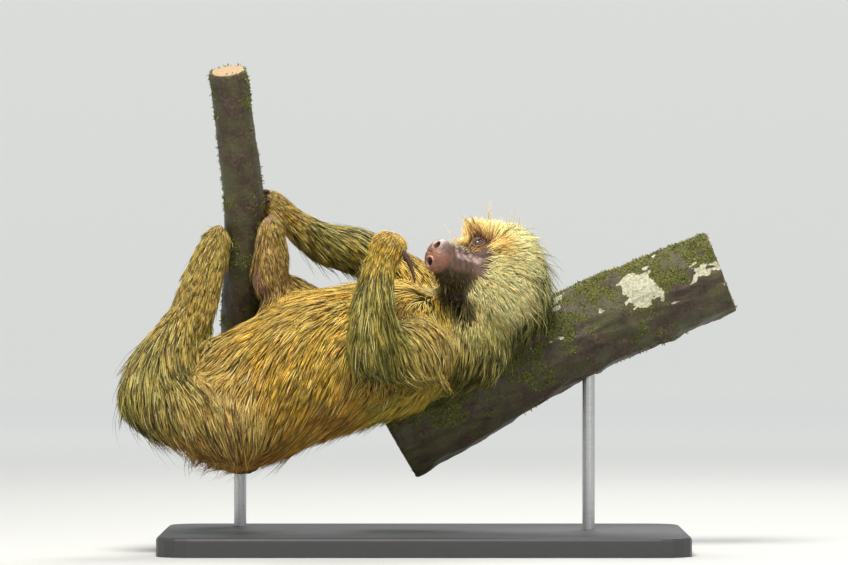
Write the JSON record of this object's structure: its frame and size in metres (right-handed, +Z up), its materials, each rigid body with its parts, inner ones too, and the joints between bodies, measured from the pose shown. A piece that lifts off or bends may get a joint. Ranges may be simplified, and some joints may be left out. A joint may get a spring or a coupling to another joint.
{
  "type": "two-toed sloth",
  "caption": "Life-size still two-toed sloth lying on its back over a mossy limb, feet and far hand hooked on an upright branch, on a display stand.",
  "frame": {"origin": "in the middle of the sloth's width, on the underside of the stand's flat base", "axes": "+Z up, +X towards the head, -Y towards the side seen in the picture, which is the sloth's left"},
  "size_m": [0.5942, 0.3089, 0.4609],
  "materials": {
    "coat": "long coarse shaggy hair, golden tan to ginger with green algae tints and dark bases",
    "bare_skin": "bare brown-pink skin, pebbled and moist on the nose, leathery on soles",
    "eye": "dark brown wet eye, smooth and glossy",
    "claw": "dark reddish-brown horn with fine lengthwise grain, satin",
    "bark": "dark rough bark with green moss and pale lichen, sawn ends",
    "stand_base": "matt dark grey-brown paint with fine texture",
    "stand_rod": "satin steel rod"
  },
  "bodies": {
    "root": {"head": "coat", "muzzle": "bare_skin", "nose": "bare_skin", "jaw": "bare_skin", "cheek_left": "coat", "cheek_right": "coat", "ear_left": "coat", "ear_right": "coat", "eye_left": "eye", "eye_right": "eye", "neck": "coat", "chest": "coat", "belly": "coat", "hips": "coat", "upper_arm_left": "coat", "forearm_left": "coat", "hand_left": "coat", "thigh_left": "coat", "shank_left": "coat", "foot_left": "coat", "claw_hand_left_1": "claw", "claw_hand_left_2": "claw", "claw_foot_left_1": "claw", "claw_foot_left_2": "claw", "claw_foot_left_3": "claw", "upper_arm_right": "coat", "forearm_right": "coat", "hand_right": "coat", "thigh_right": "coat", "shank_right": "coat", "foot_right": "coat", "claw_hand_right_1": "claw", "claw_hand_right_2": "claw", "claw_foot_right_1": "claw", "claw_foot_right_2": "claw", "claw_foot_right_3": "claw", "perch_branch": "bark", "perch_limb": "bark", "stand_base": "stand_base", "stand_rod_branch": "stand_rod", "stand_rod_limb": "stand_rod"}
  },
  "joints": []
}
